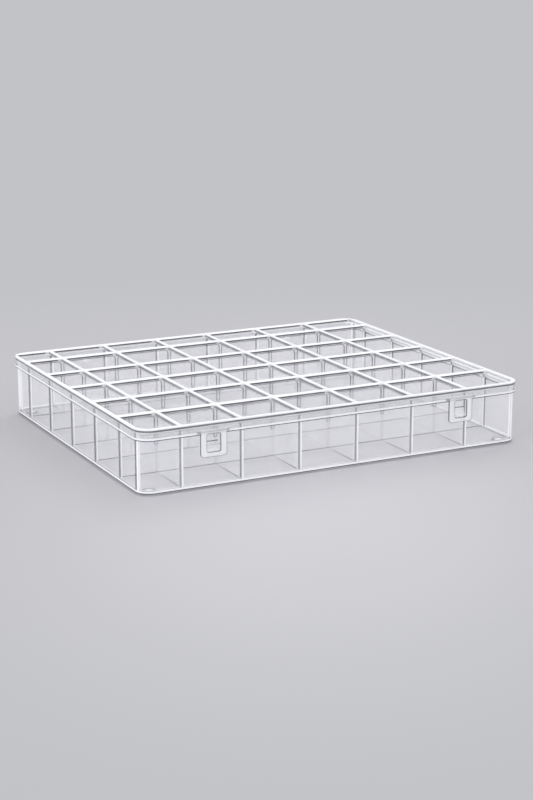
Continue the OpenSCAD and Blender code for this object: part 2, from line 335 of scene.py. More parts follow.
def noise(tree: NodeTree, grain_mm: float, point: NodeSocket, detail: float = 2.0) -> NodeSocket:
    """Add noise with a grain of the given size in millimetres, and return its value."""
    settings = {"Scale": 1 / (grain_mm * MM), "Detail": detail}
    return add(tree, "ShaderNodeTexNoise", settings, {"Vector": point}).outputs["Fac"]


def blank(name: str) -> tuple:
    """Return a new material with no nodes but its output, and that output."""
    material = bpy.data.materials.new(name)
    material.use_nodes = True
    material.node_tree.nodes.clear()
    return material, material.node_tree.nodes.new("ShaderNodeOutputMaterial")


def set_ramp(node: Node, stops: tuple) -> None:
    """Give a colour ramp its stops, each a place with a linear colour and alpha."""
    elements = node.color_ramp.elements
    while len(elements) > 1:
        elements.remove(elements[-1])
    elements[0].position, elements[0].color = stops[0]
    for position, colour in stops[1:]:
        elements.new(position).color = colour


@dataclass(frozen=True)
class ClearStyrene:
    """Injection-moulded crystal polystyrene: clear faces, painted white and grey lines where light turns.

    The real plastic is colourless, polished by its mould and a little wavy where the melt flowed. Its
    emission is painted light that stands for the light the clear walls carry inside them and let out again.
    """

    name: str
    face_alpha: float = 0.06
    bright_alpha: float = 0.92
    line_alpha: float = 0.85
    # face: the plastic's own colour; bright: painted highlights; line: painted dark lines
    face: str = "#f0f0f3"
    bright: str = "#f8f8fa"
    line: str = "#55575c"
    painted_glow: float = 0.14
    ior: float = 1.59
    line_end: float = 0.3
    clear_range: tuple = (0.48, 0.55)
    roughness: float = 0.12
    scuff_mm: float = 2.2
    scuff_range: tuple = (0.35, 0.75)
    dull_range: tuple = (0.7, 1.8)
    flow_mm: float = 14.0
    flow_bump: float = 0.25
    flow_depth: float = 0.1 * MM
    streak: float = 0.16
    streak_stretch: float = 0.06

    def make(self) -> Material:
        """Build the material.

        The tone picks colour and alpha: a clear face, a painted highlight or a painted dark line. Upright
        streaks make the alpha a little uneven, flow waves bend the gloss and scuffs dull it.
        """
        material, out = blank(self.name)
        tree = material.node_tree
        tone = add(tree, "ShaderNodeAttribute", {"attribute_name": TONE})
        ramp = add(tree, "ShaderNodeValToRGB", links={"Fac": tone.outputs["Fac"]})
        middle = (self.face_alpha + self.line_alpha) / 2
        set_ramp(ramp, (
            (LINE, rgba(self.line, self.line_alpha)),
            (self.line_end, rgba(self.line, middle)),
            (self.clear_range[0], rgba(self.face, self.face_alpha)),
            (self.clear_range[1], rgba(self.face, self.face_alpha)),
            (GLINT, rgba(self.bright, (self.face_alpha + self.bright_alpha) / 2)),
            (BRIGHT, rgba(self.bright, self.bright_alpha)),
        ))
        point = add(tree, "ShaderNodeTexCoord").outputs["Object"]
        flow = noise(tree, self.flow_mm, point, 1.0)
        tall = add(tree, "ShaderNodeMapping", {"Scale": (1.0, 1.0, self.streak_stretch)}, {"Vector": point})
        streaks = noise(tree, self.flow_mm, tall.outputs["Vector"])
        uneven = add(tree, "ShaderNodeMath", {
            "operation": "MULTIPLY_ADD", 1: self.streak, 2: -self.streak / 2,
        }, {0: streaks})
        alpha = add(tree, "ShaderNodeMath", {"operation": "ADD", "use_clamp": True},
                    {0: ramp.outputs["Alpha"], 1: uneven.outputs["Value"]})
        dull = add(tree, "ShaderNodeMapRange", {
            "From Min": self.scuff_range[0], "From Max": self.scuff_range[1],
            "To Min": self.roughness * self.dull_range[0], "To Max": self.roughness * self.dull_range[1],
        }, {"Value": noise(tree, self.scuff_mm, point, 3.0)})
        bump = add(tree, "ShaderNodeBump", {"Strength": self.flow_bump, "Distance": self.flow_depth},
                   {"Height": flow})
        # painted light: an emission in the tone's colour, which brightens the clear walls
        shader = add(tree, "ShaderNodeBsdfPrincipled", {"IOR": self.ior, "Emission Strength": self.painted_glow}, {
            "Base Color": ramp.outputs["Color"],
            "Emission Color": ramp.outputs["Color"],
            "Alpha": alpha.outputs["Value"],
            "Roughness": dull.outputs["Result"],
            "Normal": bump.outputs["Normal"],
        })
        tree.links.new(shader.outputs["BSDF"], out.inputs["Surface"])
        return material


@dataclass(frozen=True)
class DrawnSteel:
    """Drawn stainless wire of the pins: grey, with fine die lines along its length (X)."""

    name: str = "drawn_stainless_wire"
    colour: str = "#b9bbbe"
    line_mm: float = 0.25
    line_stretch: float = 0.04
    rough_range: tuple = (0.22, 0.45)

    def make(self) -> Material:
        """Build the material: noise stretched along X varies the roughness as the die lines do."""
        material, out = blank(self.name)
        tree = material.node_tree
        point = add(tree, "ShaderNodeTexCoord").outputs["Object"]
        drawn = add(tree, "ShaderNodeMapping", {"Scale": (self.line_stretch, 1.0, 1.0)}, {"Vector": point})
        lines = noise(tree, self.line_mm, drawn.outputs["Vector"])
        low, high = self.rough_range
        rough = add(tree, "ShaderNodeMapRange", {"To Min": low, "To Max": high}, {"Value": lines})
        shader = add(tree, "ShaderNodeBsdfPrincipled", {"Base Color": rgba(self.colour), "Metallic": 1.0},
                     {"Roughness": rough.outputs["Result"]})
        tree.links.new(shader.outputs["BSDF"], out.inputs["Surface"])
        return material


@dataclass(frozen=True)
class FootGel:
    """Clear polyurethane gel of the stick-on feet: milky, soft-looking, with a satin skin."""

    name: str = "clear_polyurethane_gel"
    colour: str = "#f4f4f6"
    # colour of the painted shade on the feet's sides, which shows as a dark ring
    side: str = "#4c4e52"
    alpha: float = 0.95
    roughness: float = 0.38
    ior: float = 1.49
    grain_mm: float = 0.6
    grain_bump: float = 0.2
    grain_depth: float = 0.05 * MM

    def make(self) -> Material:
        """Build the material: the tone picks milky face or the painted shade of its side, fine noise the
        satin skin.
        """
        material, out = blank(self.name)
        tree = material.node_tree
        tone = add(tree, "ShaderNodeAttribute", {"attribute_name": TONE})
        ramp = add(tree, "ShaderNodeValToRGB", links={"Fac": tone.outputs["Fac"]})
        set_ramp(ramp, ((0.0, rgba(self.side)), (1.0, rgba(self.colour))))
        point = add(tree, "ShaderNodeTexCoord").outputs["Object"]
        bump = add(tree, "ShaderNodeBump", {"Strength": self.grain_bump, "Distance": self.grain_depth},
                   {"Height": noise(tree, self.grain_mm, point)})
        shader = add(tree, "ShaderNodeBsdfPrincipled", {
            "Alpha": self.alpha, "Roughness": self.roughness, "IOR": self.ior,
        }, {"Base Color": ramp.outputs["Color"], "Normal": bump.outputs["Normal"]})
        tree.links.new(shader.outputs["BSDF"], out.inputs["Surface"])
        return material


@dataclass
class Grid:
    """The cells, read from the frame: where the bars run, and the edges of every flap opening."""

    half_w: float = 170 * MM
    half_d: float = 142 * MM
    rim_w: float = 3 * MM
    bar_w: float = 2.6 * MM
    bars_x: list = field(default_factory=list)
    bars_y: list = field(default_factory=list)

    @staticmethod
    def middle(node: str, axis: int) -> float:
        """Return the middle of a node's box along one axis."""
        low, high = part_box(node)
        return (low[axis] + high[axis]) / 2

    def read(self, nodes: dict) -> "Grid":
        """Take the bars' places from the dividers, which stand under them."""
        self.bars_x = sorted(self.middle(n, 0) for n in nodes if n.startswith("divider_deep"))
        self.bars_y = sorted(self.middle(n, 1) for n in nodes if n.startswith("divider_wide"))
        return self

    def spans(self, bars: list, half: float) -> list:
        """Return the two edges of each opening along one axis: the rim outside, half a bar inside."""
        lows = [-half + self.rim_w] + [bar + self.bar_w / 2 for bar in bars]
        highs = [bar - self.bar_w / 2 for bar in bars] + [half - self.rim_w]
        return list(zip(lows, highs))

    def openings(self) -> list:
        """Return (row, column, x0, x1, y0, y1) of every flap opening."""
        return [
            (row, column, x0, x1, y0, y1)
            for row, (y0, y1) in enumerate(self.spans(self.bars_y, self.half_d))
            for column, (x0, x1) in enumerate(self.spans(self.bars_x, self.half_w))
        ]


@dataclass(frozen=True)
class Hinge:
    """Sizes that the lid, the tray and the pins share at the two rear hinges."""

    pin_l: float = 24.6 * MM
    lid_l: float = 12 * MM
    tray_l: float = 6 * MM
    radius: float = 2.2 * MM
    gap: float = 0.3 * MM

    def axes(self) -> list:
        """Return the middle of each pin, from the pins' box in the frame."""
        low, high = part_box("hinge_pins")
        y, z = (low.y + high.y) / 2, (low.z + high.z) / 2
        return [(x, y, z) for x in (low.x + self.pin_l / 2, high.x - self.pin_l / 2)]


HINGE = Hinge()


@dataclass
class LidFrame:
    """Rim, skirt, bars and ledges of the lid, with its latch ears and hinge knuckles.

    Each row of bead is a point of the section at the skirt's foot: its step out as a share of bead_out, its
    depth below the bead's top in millimetres, and its tone, a painted highlight on the bead and a painted
    dark line under it. tone_steps are the tones at the depths tone_drops, in millimetres below the top: a
    painted highlight along the top, a painted dark line under it, then clear.
    """

    grid: Grid
    material: Material
    corner_r: float = 13 * MM
    frame_h: float = 3.2 * MM
    seat_drop: float = 1.9 * MM
    skirt_h: float = 9.4 * MM
    skirt_t: float = 1.3 * MM
    chamfer: float = 0.2 * MM
    bead_out: float = 0.4 * MM
    bead_h: float = 1.2 * MM
    bead: tuple = (
        (0.0, -1.1, VEIL), (0.0, -0.9, BRIGHT), (0.0, 0.0, BRIGHT), (0.7, 0.1, BRIGHT), (1.0, 0.25, BRIGHT),
        (1.0, 0.35, BRIGHT), (1.0, 0.5, LINE), (0.6, 1.12, LINE), (0.0, 1.2, LINE),
    )
    ledge_w: float = 1 * MM
    barrel_room: float = 2.6 * MM
    opening_r: float = 2 * MM
    edge: float = 0.45 * MM
    bite: float = 0.2 * MM
    small_edge: float = 0.12 * MM
    inner_drop: float = 0.4 * MM
    gusset_drop: float = 0.03 * MM
    ear_w: float = 2 * MM
    ear_r: float = 1.5 * MM
    ear_gap: float = 0.3 * MM
    ear_edge: float = 0.3 * MM
    corner_steps: int = 10
    round_steps: int = 4
    ledge_steps: int = 5
    tone_drops: tuple = (0.0, 1.1, 1.25, 2.5, 2.7, 3.2)
    tone_steps: tuple = (BRIGHT, BRIGHT, LINE, LINE, CLEAR, CLEAR)

    def tone_at(self, depth: np.ndarray) -> np.ndarray:
        """Return the tone at a depth under the top: painted highlight, painted dark line, then clear."""
        return np.interp(np.asarray(depth) / MM, self.tone_drops, self.tone_steps)

    def rim_and_skirt(self, top: float) -> Patch:
        """Carry the rim's section around the lid.

        It goes over the rim's outer edge, down the skirt, around its bead, up behind it, and up the openings'
        side to the inner edge.
        """
        g, e, c, steps = self.grid, self.edge, self.chamfer, self.corner_steps
        right, back, inner_r = g.half_w - g.rim_w, g.half_d - g.rim_w, self.corner_r - g.rim_w
        outer = round_rectangle(-g.half_w, -g.half_d, g.half_w, g.half_d, (self.corner_r,) * 4, steps)
        inner = round_rectangle(-right, -back, right, back, (inner_r, inner_r, e, e), steps)
        turn = np.linspace(0.0, math.pi / 2, self.round_steps + 1)
        over = list(zip(e * (1.0 - np.sin(turn)), e * (1.0 - np.cos(turn))))
        white, dark, dark_end, veil = (drop * MM for drop in self.tone_drops[1:5])
        lip = self.skirt_h - self.bead_h
        # painted highlights on the rim's edges and bead, painted dark lines under them, painted grey skirt
        section = [(outer, -inset, drop, BRIGHT) for inset, drop in over]
        section += [
            (outer, 0.0, white, BRIGHT), (outer, 0.0, dark, LINE), (outer, 0.0, dark_end, LINE),
            (outer, 0.0, veil, VEIL),
        ]
        section += [(outer, share * self.bead_out, lip + drop * MM, tone) for share, drop, tone in self.bead]
        section += [
            (outer, c - self.skirt_t, self.skirt_h, LINE), (outer, -self.skirt_t, self.skirt_h - c, CLEAR),
            (outer, -self.skirt_t, self.frame_h, CLEAR), (inner, c, self.frame_h, CLEAR),
            (inner, 0.0, self.frame_h - c, CLEAR),
            (inner, 0.0, dark + self.inner_drop, VEIL), (inner, 0.0, white + self.inner_drop, BRIGHT),
        ]
        section += [(inner, inset, drop, BRIGHT) for inset, drop in reversed(over)]
        return swept([(base, step, top - drop, tone) for base, step, drop, tone in section], Along.Z)

    def bar(self, middle: float, start: float, end: float, top: float, along: Along) -> Patch:
        """Carry a bar's section, round at its two upper edges, from start to end."""
        half, e = self.grid.bar_w / 2, self.edge
        side = top - np.array(self.tone_drops[4:0:-1]) * MM
        outline = np.concatenate([
            [(middle - half, top - self.frame_h), (middle + half, top - self.frame_h)],
            np.stack([np.full_like(side, middle + half), side], axis=1),
            arc((middle + half - e, top - e), e, 0, 90, self.round_steps),
            arc((middle - half + e, top - e), e, 90, 180, self.round_steps),
            np.stack([np.full_like(side, middle - half), side[::-1]], axis=1),
        ])
        # painted highlight on the bar's top and a painted dark line on its sides under it
        return slab(outline, start, end, self.small_edge, along, self.tone_at(top - outline[:, 1]), CLEAR, 1)

    def bars(self, top: float) -> list:
        """Return the front-to-back bars, which run through, and the left-to-right bars between them."""
        g = self.grid
        y_end = g.half_d - g.rim_w + self.bite
        deep = [self.bar(x, -y_end, y_end, top, Along.Y) for x in g.bars_x]
        wide = [
            self.bar(y, x0 - self.bite, x1 + self.bite, top, Along.X)
            for y in g.bars_y for x0, x1 in g.spans(g.bars_x, g.half_w)
        ]
        return deep + wide

    def front_radii(self, row: int, column: int) -> tuple:
        """Return an opening's front left and right corner radii, which are large in the lid's own corners."""
        large = self.corner_r - self.grid.rim_w
        last = len(self.grid.bars_x)
        return (large if (row, column) == (0, 0) else self.opening_r,
                large if (row, column) == (0, last) else self.opening_r)

    def ledges(self, top: float) -> list:
        """Return the ledge in each opening, a U that is open behind, where the flap's barrel turns."""
        low, high = top - self.frame_h, top - self.seat_drop
        pieces = []
        for row, column, x0, x1, y0, y1 in self.grid.openings():
            left, right = self.front_radii(row, column)
            back, w, b = y1 - self.barrel_room, self.ledge_w, self.bite
            outline = np.concatenate([
                arc((x0 + left, y0 + left), left + b, 180, 270, self.ledge_steps),
                arc((x1 - right, y0 + right), right + b, 270, 360, self.ledge_steps),
                [(x1 + b, back), (x1 - w, back)],
                arc((x1 - right, y0 + right), right - w, 360, 270, self.ledge_steps),
                arc((x0 + left, y0 + left), left - w, 270, 180, self.ledge_steps),
                [(x0 + w, back), (x0 - b, back)],
            ])
            pieces.append(slab(outline, low, high, self.small_edge, Along.Z, CLEAR, CLEAR, 1))
        return pieces

    def gussets(self, top: float) -> list:
        """Return the fillets in the openings' small front corners, each a square less a quarter circle."""
        pieces = []
        b, low, high = self.bite, top - self.seat_drop, top - self.gusset_drop
        for row, column, x0, x1, y0, _ in self.grid.openings():
            for x, side, radius in zip((x0, x1), (1, -1), self.front_radii(row, column)):
                if radius != self.opening_r:
                    continue
                start, end = (180, 270) if side > 0 else (0, -90)
                outline = np.concatenate([
                    [(x - side * b, y0 - b), (x - side * b, y0 + radius)],
                    arc((x + side * radius, y0 + radius), radius, start, end, self.round_steps),
                    [(x + side * radius, y0 - b)],
                ])
                # painted highlight on the fillets
                pieces.append(slab(outline, low, high, self.small_edge, Along.Z, BRIGHT, BRIGHT, 1))
        return pieces

    def ears(self) -> list:
        """Return the two ears beside each latch, which hold its pin."""
        pieces = []
        r, w, e = self.ear_r, self.ear_w, self.ear_edge
        for name in LATCHES:
            low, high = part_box(name)
            y, z = (low.y + high.y) / 2, high.z - r
            for x in (low.x - self.ear_gap - w / 2, high.x + self.ear_gap + w / 2):
                pieces.append(rod((x, y, z), r, w, e, CLEAR))
                pieces.append(block((x - w / 2, y, z - r), (x + w / 2, e - self.grid.half_d, z + r), e,
                                    Along.X, CLEAR, CLEAR))
        return pieces

    def knuckles(self, top: float) -> list:
        """Return the lid's knuckle of each hinge, with its web down to the skirt."""
        pieces = []
        front, high = self.grid.half_d - self.skirt_t, top - self.skirt_h + self.bead_h
        for x, y, z in HINGE.axes():
            x0, x1 = x - HINGE.lid_l / 2, x + HINGE.lid_l / 2
            # painted glint on the knuckle and its web
            pieces.append(rod((x, y, z), HINGE.radius, HINGE.lid_l, self.ear_edge, GLINT))
            pieces.append(block((x0, front, z), (x1, y, high), self.ear_edge, Along.X, GLINT, CLEAR))
        return pieces

    def build(self) -> None:
        """Build the whole lid frame as one piece."""
        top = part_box("lid_frame")[1].z
        patches = [self.rim_and_skirt(top)] + self.bars(top) + self.ledges(top) + self.gussets(top)
        patches += self.ears() + self.knuckles(top)
        link("lid_frame_moulding", patches, self.material, "lid_frame", "lid")


@dataclass
class Tray:
    """Floor and walls of the tray, with divider ribs, latch wedges and hinge knuckles."""

    grid: Grid
    material: Material
    inset: float = 1.6 * MM
    corner_r: float = 11.4 * MM
    wall_t: float = 1.8 * MM
    floor_t: float = 1.8 * MM
    divider_t: float = 1.6 * MM
    slot_gap: float = 0.2 * MM
    rib_t: float = 1.2 * MM
    rib_depth: float = 2.2 * MM
    rib_drop: float = 3 * MM
    fillet: float = 1 * MM
    flat_from: float = 2.4
    # heights of a painted highlight band just above the bottom edge, and where it fades
    low_highlight_band: tuple = (1.15 * MM, 2.4 * MM)
    low_highlight_fade: float = 2.8 * MM
    lip_h: float = 0.4 * MM
    lip_fade: float = 0.9 * MM
    lip_round: float = 0.3 * MM
    catch_w: float = 10.7 * MM
    catch_h: float = 7.6 * MM
    catch_depth: float = 2.1 * MM
    catch_rise: float = 4.1 * MM
    catch_lip: float = 0.4 * MM
    catch_fade: float = 0.88
    catch_edge: float = 0.15 * MM
    lit_rib: float = 0.9
    edge: float = 0.3 * MM
    bite: float = 0.3 * MM
    corner_steps: int = 16

    @staticmethod
    def corner_tones(count: int) -> np.ndarray:
        """Return what the round corners add to the clear tone, for the points of an outline.

        The front left corner and the one across from it get a painted dark and a painted white line side by
        side, and the other two a broad painted highlight streak, where the bent wall gathers light.
        """
        turn = np.linspace(0.0, 1.0, count + 1)
        near = np.interp(turn, (0.0, 0.06, 0.12, 0.18, 0.25, 0.31), (0.0, -0.5, -0.5, 0.5, 0.5, 0.0))
        far = np.interp(turn, (0.25, 0.45, 0.9, 1.0), (0.0, 0.4, 0.4, 0.0))
        return np.concatenate([near, far, near, far])

    def shell(self, low: float, top: float) -> Patch:
        """Carry the wall's section around the tray, closed by the underside and the floor.

        It goes around the lower edge, up the outside, over the top and down the inside to the floor; its
        tones paint dark lines and highlights along the edges.
        """
        w, d, t, f = self.grid.half_w - self.inset, self.grid.half_d - self.inset, self.wall_t, self.fillet
        outer = round_rectangle(-w, -d, w, d, (self.corner_r,) * 4, self.corner_steps)
        inner = round_rectangle(t - w, t - d, w - t, d - t, (self.corner_r - t,) * 4, self.corner_steps)
        floor, flat = low + self.floor_t, self.flat_from * f
        turn = np.radians((0.0, 30.0, 60.0, 90.0))
        round_edge = list(zip(f * (np.sin(turn) - 1.0), f * (1.0 - np.cos(turn))))
        # painted lines and highlight streaks at the round corners of the wall
        wall = CLEAR + self.corner_tones(self.corner_steps)
        section = [(outer, -flat, low, CLEAR)]
        # painted dark line on the lower round edge for the contact shadow, a painted highlight band above it
        section += [(outer, step, low + rise, LINE) for step, rise in round_edge]
        section += [(outer, 0.0, low + rise, BRIGHT) for rise in self.low_highlight_band]
        # the lip rows paint a highlight along the top of the wall
        section += [
            (outer, 0.0, low + self.low_highlight_fade, wall), (outer, 0.0, top - self.lip_fade, wall),
            (outer, 0.0, top - self.lip_h, BRIGHT), (outer, -self.lip_round, top, BRIGHT),
            (inner, self.lip_round, top, BRIGHT), (inner, 0.0, top - self.lip_h, BRIGHT),
            (inner, 0.0, top - self.lip_fade, wall), (inner, 0.0, floor + 2 * f, wall),
        ]
        # painted glint along the fillet where the wall meets the floor
        section += [(inner, step, floor + rise, GLINT) for step, rise in reversed(round_edge)]
        return swept(section + [(inner, -flat, floor, CLEAR)], Along.Z, closed=False)

    def ribs(self, floor: float, top: float) -> list:
        """Return the upright ribs, a pair at each end of every divider.

        The rib on the side of the light, at the right of a front-to-back divider and in front of a
        left-to-right one, has a painted highlight and its partner stays clear.
        """
        w, d = self.grid.half_w - self.inset - self.wall_t, self.grid.half_d - self.inset - self.wall_t
        near = self.divider_t / 2 + self.slot_gap
        far, high = near + self.rib_t, top - self.rib_drop
        pieces = []
        for side, end in ((-1, -1), (-1, 1), (1, -1), (1, 1)):
            for x in self.grid.bars_x:
                xs = sorted((x + side * near, x + side * far))
                ys = sorted((end * (d - self.rib_depth), end * (d + self.bite)))
                tone = self.lit_rib if side > 0 else CLEAR
                pieces.append(block((xs[0], ys[0], floor), (xs[1], ys[1], high), self.edge, Along.Z,
                                    tone, tone))
            for y in self.grid.bars_y:
                xs = sorted((end * (w - self.rib_depth), end * (w + self.bite)))
                ys = sorted((y + side * near, y + side * far))
                rib = block((xs[0], ys[0], floor), (xs[1], ys[1], high), self.edge, Along.Z, CLEAR, CLEAR)
                # the front rib of a left-to-right divider gets a painted dark line on its half by the wall
                if side < 0:
                    lit = np.abs(rib.points[:, 0]) < w - self.rib_depth / 2
                    rib.tones = np.where(lit, self.lit_rib, LINE)
                pieces.append(rib)
        return pieces

    def catches(self) -> list:
        """Return the wedge behind each latch's window: it slopes out to a flat lower ledge."""
        pieces = []
        wall = self.inset - self.grid.half_d
        root, out, fade = wall + self.bite, wall - self.catch_depth, self.catch_fade
        for name in LATCHES:
            low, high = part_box(name)
            x, ledge = (low.x + high.x) / 2, low.z + self.catch_rise
            top, dark = ledge + self.catch_h, ledge + self.catch_h * fade
            outline = np.array([
                (root, ledge), (out, ledge), (out, ledge + self.catch_lip),
                (wall - self.catch_depth * (1.0 - fade), dark), (wall, top), (root, top), (root, dark),
            ])
            # painted glint along the ledge, painted dark line along the top of the wedge
            tones = np.array([CLEAR, GLINT, GLINT, CLEAR, LINE, LINE, CLEAR])
            pieces.append(slab(outline, x - self.catch_w / 2, x + self.catch_w / 2, self.catch_edge, Along.X,
                               tones, GLINT, 1))
        return pieces

    def knuckles(self) -> list:
        """Return the tray's two knuckles of each hinge, with their webs to the wall."""
        wall, half = self.grid.half_d - self.inset - self.edge, HINGE.tray_l / 2
        pieces = []
        for x, y, z in HINGE.axes():
            for end in (-1, 1):
                middle = x + end * (HINGE.lid_l / 2 + half + HINGE.gap)
                # painted glint on the knuckles and their webs
                pieces.append(rod((middle, y, z), HINGE.radius, HINGE.tray_l, self.edge, GLINT))
                pieces.append(block((middle - half, wall, z - HINGE.radius), (middle + half, y, z), self.edge,
                                    Along.X, GLINT, CLEAR))
        return pieces

    def build(self) -> None:
        """Build the whole tray as one piece."""
        low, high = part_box("tray")
        floor = low.z + self.floor_t
        patches = [self.shell(low.z, high.z)] + self.ribs(floor, high.z) + self.catches() + self.knuckles()
        link("tray_moulding", patches, self.material, "tray", "base")


@dataclass
class Dividers:
    """The strips that cross in the tray, halved into each other."""

    grid: Grid
    material: Material
    half_slot: float = 1 * MM
    corner_r: float = 3 * MM
    overlap: float = 0.2 * MM
    edge: float = 0.3 * MM
    # tone of the painted dark lines in the slots of the left-to-right strips
    wide_slot: float = 0.1
    upright: float = 0.6
    end_zone: float = 0.5 * MM

    def deep_outline(self, y0: float, y1: float, z0: float, z1: float) -> np.ndarray:
        """Return a front-to-back strip's outline in Y and Z: round upper corners, and slots from below."""
        r, s, half_z = self.corner_r, self.half_slot, (z0 + z1) / 2
        slots = [[(y - s, z0), (y - s, half_z), (y + s, half_z), (y + s, z0)] for y in self.grid.bars_y]
        return np.concatenate([[(y0, z0)], *slots, [(y1, z0)], arc((y1 - r, z1 - r), r, 0, 90),
                               arc((y0 + r, z1 - r), r, 90, 180)])

    def wide_outline(self, x0: float, x1: float, z0: float, z1: float) -> np.ndarray:
        """Return a left-to-right strip's outline in X and Z: slots from above, with round mouths."""
        r, s, low = self.corner_r, self.half_slot, (z0 + z1) / 2 - self.overlap
        slots = [
            np.concatenate([arc((x + s + r, z1 - r), r, 90, 180), [(x + s, low), (x - s, low)],
                            arc((x - s - r, z1 - r), r, 0, 90)])
            for x in reversed(self.grid.bars_x)
        ]
        return np.concatenate([[(x0, z0), (x1, z0)], arc((x1 - r, z1 - r), r, 0, 90), *slots,
                               arc((x0 + r, z1 - r), r, 90, 180)])

    def tones(self, outline: np.ndarray, slot_tone: float) -> np.ndarray:
        """Return the tone of a strip's sides: a painted dark line at its ends, slot_tone in its slots, and
        a faint painted dark line elsewhere.
        """
        upright = np.abs(mitres(outline))[:, 0] > self.upright
        end = np.abs(outline[:, 0]) > np.abs(outline[:, 0]).max() - self.end_zone
        return np.where(end, LINE, np.where(upright, slot_tone, FAINT_LINE))

    def build(self, nodes: dict) -> None:
        """Build every strip as a piece of its own."""
        for name in sorted(n for n in nodes if n.startswith("divider_")):
            low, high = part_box(name)
            if "deep" in name:
                outline = self.deep_outline(low.y, high.y, low.z, high.z)
                # painted grey in the slots of the front-to-back strips
                tones = self.tones(outline, VEIL)
                patch = slab(outline, low.x, high.x, self.edge, Along.X, tones, CLEAR, 2)
            else:
                outline = self.wide_outline(low.x, high.x, low.z, high.z)
                tones = self.tones(outline, self.wide_slot)
                patch = slab(outline, low.y, high.y, self.edge, Along.Y, tones, CLEAR, 2)
            link(name + "_strip", [patch], self.material, name, "base")


@dataclass
class Flaps:
    """The flap over each cell: a thin plate on a round rear edge, with two pivot stubs and a thumb ridge."""

    lid: LidFrame
    material: Material
    gap: float = 0.3 * MM
    thickness: float = 1.2 * MM
    recess: float = 0.6 * MM
    barrel_r: float = 1 * MM
    barrel_edge: float = 0.1 * MM
    # share of the radius above the axis where the barrel's painted highlight starts
    barrel_highlight_above: float = 1 / 3
    end_l: float = 3.5 * MM
    end_edge: float = 0.2 * MM
    stub_r: float = 0.6 * MM
    stub_l: float = 1 * MM
    stub_edge: float = 0.15 * MM
    ridge_w: float = 12 * MM
    ridge_t: float = 1.4 * MM
    ridge_inset: float = 1.6 * MM
    # tones: a faint painted glint on the ridge's faces, a painted grey on the plate's rim
    ridge: float = 0.62
    rim: float = VEIL
    edge: float = 0.25 * MM

    def barrel(self, axis: tuple, width: float) -> list:
        """Return the round rear edge of a flap, with a painted highlight above and painted shade below,
        and its right-hand end with a painted highlight.
        """
        x, y, z = axis
        length = width - self.end_l
        edge = rod((x - self.end_l / 2, y, z), self.barrel_r, length, self.barrel_edge, BRIGHT)
        # painted highlight on the top of the barrel, painted shade under it
        edge.tones = np.where(edge.points[:, 2] > z + self.barrel_r * self.barrel_highlight_above, BRIGHT, LINE)
        return [edge, rod((x + length / 2, y, z), self.barrel_r, self.end_l, self.end_edge, GLINT)]

    def flap(self, row: int, column: int, x0: float, x1: float, y0: float, y1: float, top: float) -> list:
        """Return the surfaces of one flap in its opening."""
        gap, z1 = self.gap, top - self.recess
        z0, width = z1 - self.thickness, x1 - x0 - 2 * gap
        left, right = (radius - gap for radius in self.lid.front_radii(row, column))
        x, y, z = axis = ((x0 + x1) / 2, y1 - gap - self.barrel_r, (z0 + z1) / 2)
        plate = round_rectangle(x0 + gap, y0 + gap, x1 - gap, y, (left, right, self.edge, self.edge))
        ridge_y, half = y0 + gap + self.ridge_inset, self.ridge_w / 2
        return [
            slab(plate, z0, z1, self.edge, Along.Z, self.rim, CLEAR, 2),
            *self.barrel(axis, width),
            rod(axis, self.stub_r, width + 2 * self.stub_l, self.stub_edge, CLEAR),
            block((x - half, ridge_y, z), (x + half, ridge_y + self.ridge_t, top), self.edge, Along.Z, CLEAR,
                  self.ridge),
        ]

    def build(self) -> None:
        """Build every flap as a piece of its own, on its own body."""
        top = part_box("lid_frame")[1].z
        for row, column, x0, x1, y0, y1 in self.lid.grid.openings():
            name = f"flap_r{row + 1}_c{column + 1}"
            link(name + "_lid", self.flap(row, column, x0, x1, y0, y1, top), self.material, name, name)


@dataclass
class Latches:
    """The two latches: a plate with a window, hanging from a barrel. Bevel is a share of edge."""

    material: Material
    barrel_r: float = 1.5 * MM
    thickness: float = 1.8 * MM
    window_w: float = 11.5 * MM
    window_h: float = 14.5 * MM
    window_drop: float = 3.3 * MM
    corner_r: float = 3 * MM
    window_r: float = 1.5 * MM
    edge: float = 0.35 * MM
    bevel: float = 0.3
    corner_steps: int = 6

    def plate(self, low: tuple, high: tuple) -> Patch:
        """Carry a rounded section around the window, over the plate's outer edge and then the window's."""
        e, w, steps = self.edge, self.window_w / 2, self.corner_steps
        x, y, z = (low.x + high.x) / 2, (low.y + high.y) / 2, high.z - self.barrel_r
        front, back, bevel = y - self.thickness / 2, y + self.thickness / 2, self.bevel * e
        window_top = high.z - self.window_drop
        window_low, radii = window_top - self.window_h, (self.corner_r, self.corner_r, e * 2, e * 2)
        outer = round_rectangle(low.x, low.z, high.x, z, radii, steps)
        inner = round_rectangle(x - w, window_low, x + w, window_top, (self.window_r,) * 4, steps)
        # painted highlight on the plate's front edge, painted dark lines along its turned edges
        edge = [
            (-2 * e, front, BRIGHT), (-e, front, GLINT), (-bevel, front + bevel, LINE),
            (0.0, front + e, LINE), (0.0, back - e, LINE), (-bevel, back - bevel, LINE), (-e, back, CLEAR),
        ]
        section = [(outer, step, depth, tone) for step, depth, tone in edge]
        section += [(inner, -step, depth, tone) for step, depth, tone in reversed(edge)]
        return swept(section, Along.Y)

    def build(self) -> None:
        """Build both latches."""
        for name in LATCHES:
            low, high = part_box(name)
            axis = ((low.x + high.x) / 2, (low.y + high.y) / 2, high.z - self.barrel_r)
            # painted glint on the barrel
            barrel = rod(axis, self.barrel_r, high.x - low.x, self.edge, GLINT)
            link(name + "_plate", [self.plate(low, high), barrel], self.material, name, name)


